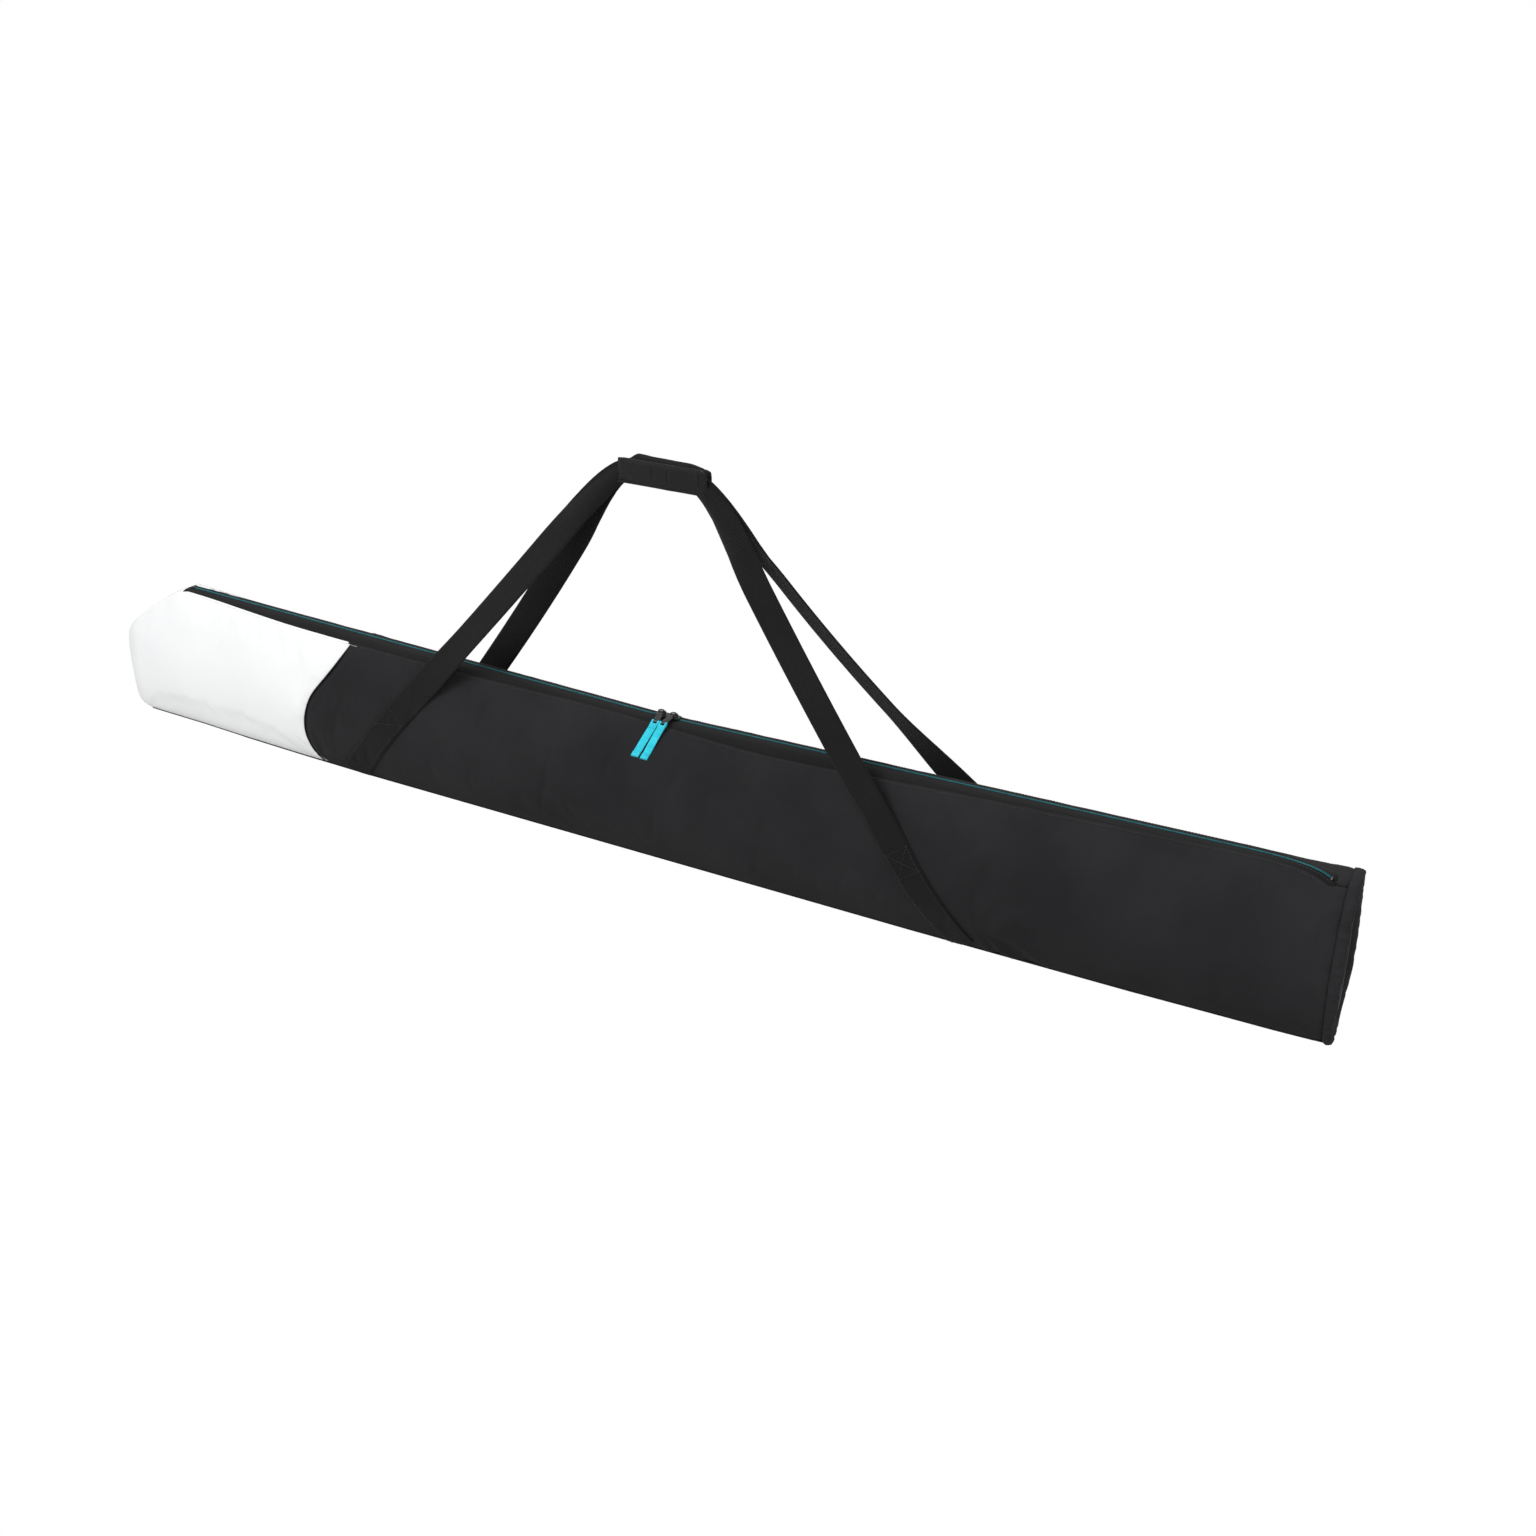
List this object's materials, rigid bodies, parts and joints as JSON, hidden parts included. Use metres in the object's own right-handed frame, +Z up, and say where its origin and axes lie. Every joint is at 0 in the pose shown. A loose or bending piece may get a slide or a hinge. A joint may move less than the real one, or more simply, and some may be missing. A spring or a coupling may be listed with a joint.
{
  "type": "ski bag",
  "caption": "Long padded zip-top bag for one pair of skis, with a swept coated nose, webbing loops and a wrap-around carry grip.",
  "frame": {"origin": "middle of the bottom gusset's underside, which the bag rests on", "axes": "+X along the bag to the tail, -Y the front wall, +Z up to the zip"},
  "size_m": [1.85, 0.1025, 0.5373],
  "materials": {
    "white_tarpaulin": "smooth coated tarpaulin, satin",
    "black_polyester": "woven, coated inside",
    "foam": "closed-cell foam",
    "lining": "thin plain weave",
    "zip_tape": "woven tape",
    "teal_coil": "moulded nylon coil",
    "black_metal": "black gloss enamel",
    "teal_ribbon": "woven ribbon",
    "black_webbing": "ribbed webbing",
    "hook_and_loop": "hook and loop",
    "grip_fabric": "woven polyester"
  },
  "bodies": {
    "bag": {"front_nose_panel": "white_tarpaulin", "rear_nose_panel": "white_tarpaulin", "front_side_panel": "black_polyester", "rear_side_panel": "black_polyester", "front_wall_foam": "foam", "rear_wall_foam": "foam", "front_lining": "lining", "rear_lining": "lining", "bottom_gusset": "black_polyester", "bottom_foam": "foam", "bottom_lining": "lining", "nose_end_strip": "white_tarpaulin", "tail_end_rim": "black_polyester", "tail_end_panel": "black_polyester", "front_zip_tape": "zip_tape", "rear_zip_tape": "zip_tape", "front_zip_coil": "teal_coil", "rear_zip_coil": "teal_coil", "nose_zip_stop": "black_metal", "tail_zip_stop": "black_metal", "front_left_strap_anchor": "black_webbing", "front_right_strap_anchor": "black_webbing", "rear_left_strap_anchor": "black_webbing", "rear_right_strap_anchor": "black_webbing"},
    "left_slider_body": {"left_slider": "black_metal", "left_slider_bridge": "black_metal"},
    "left_tab_body": {"left_pull_tab": "black_metal"},
    "left_ribbon_body": {"left_pull_ribbon": "teal_ribbon"},
    "right_slider_body": {"right_slider": "black_metal", "right_slider_bridge": "black_metal"},
    "right_tab_body": {"right_pull_tab": "black_metal"},
    "right_ribbon_body": {"right_pull_ribbon": "teal_ribbon"},
    "handle": {"front_strap_crown": "black_webbing", "rear_strap_crown": "black_webbing", "grip_rear_cover": "grip_fabric", "grip_rear_foam": "foam", "grip_fold": "grip_fabric", "loop_strip": "hook_and_loop", "front_left_strap_leg": "black_webbing", "front_right_strap_leg": "black_webbing", "rear_left_strap_leg": "black_webbing", "rear_right_strap_leg": "black_webbing"},
    "grip_flap": {"grip_front_cover": "grip_fabric", "grip_front_foam": "foam", "hook_strip": "hook_and_loop"}
  },
  "joints": [
    {"name": "left_slide", "type": "slide", "parent": "bag", "child": "left_slider_body", "axis": [-0.9996, 0, 0.0274], "range_m": [0, 0.811]},
    {"name": "left_tab_swing", "type": "hinge", "parent": "left_slider_body", "child": "left_tab_body", "pos_m": [0.05191, 0, 0.20085], "axis": [-0.9996, 0, 0.0274], "range_deg": [0, 202]},
    {"name": "left_ribbon_swing", "type": "hinge", "parent": "left_tab_body", "child": "left_ribbon_body", "pos_m": [0.0571, -0.02258, 0.19632], "axis": [-0.9996, 0, 0.0274], "range_deg": [0, 115.2]},
    {"name": "right_slide", "type": "slide", "parent": "bag", "child": "right_slider_body", "axis": [0.9998, 0, 0.0174], "range_m": [0, 0.719]},
    {"name": "right_tab_swing", "type": "hinge", "parent": "right_slider_body", "child": "right_tab_body", "pos_m": [0.07017, 0, 0.20076], "axis": [-0.9998, 0, -0.0174], "range_deg": [0, 202]},
    {"name": "right_ribbon_swing", "type": "hinge", "parent": "right_tab_body", "child": "right_ribbon_body", "pos_m": [0.06864, -0.02258, 0.19634], "axis": [-0.9998, 0, -0.0174], "range_deg": [0, 115.2]},
    {"name": "handle_swing", "type": "hinge", "parent": "bag", "child": "handle", "pos_m": [0.0655, 0, 0.205], "axis": [1, 0, 0], "range_deg": [-80, 80], "deforming": ["front_left_strap_leg", "front_right_strap_leg", "rear_left_strap_leg", "rear_right_strap_leg"]},
    {"name": "grip_flap_open", "type": "hinge", "parent": "handle", "child": "grip_flap", "pos_m": [0.0655, -0.007, 0.498], "axis": [1, 0, 0], "range_deg": [0, 110]}
  ]
}
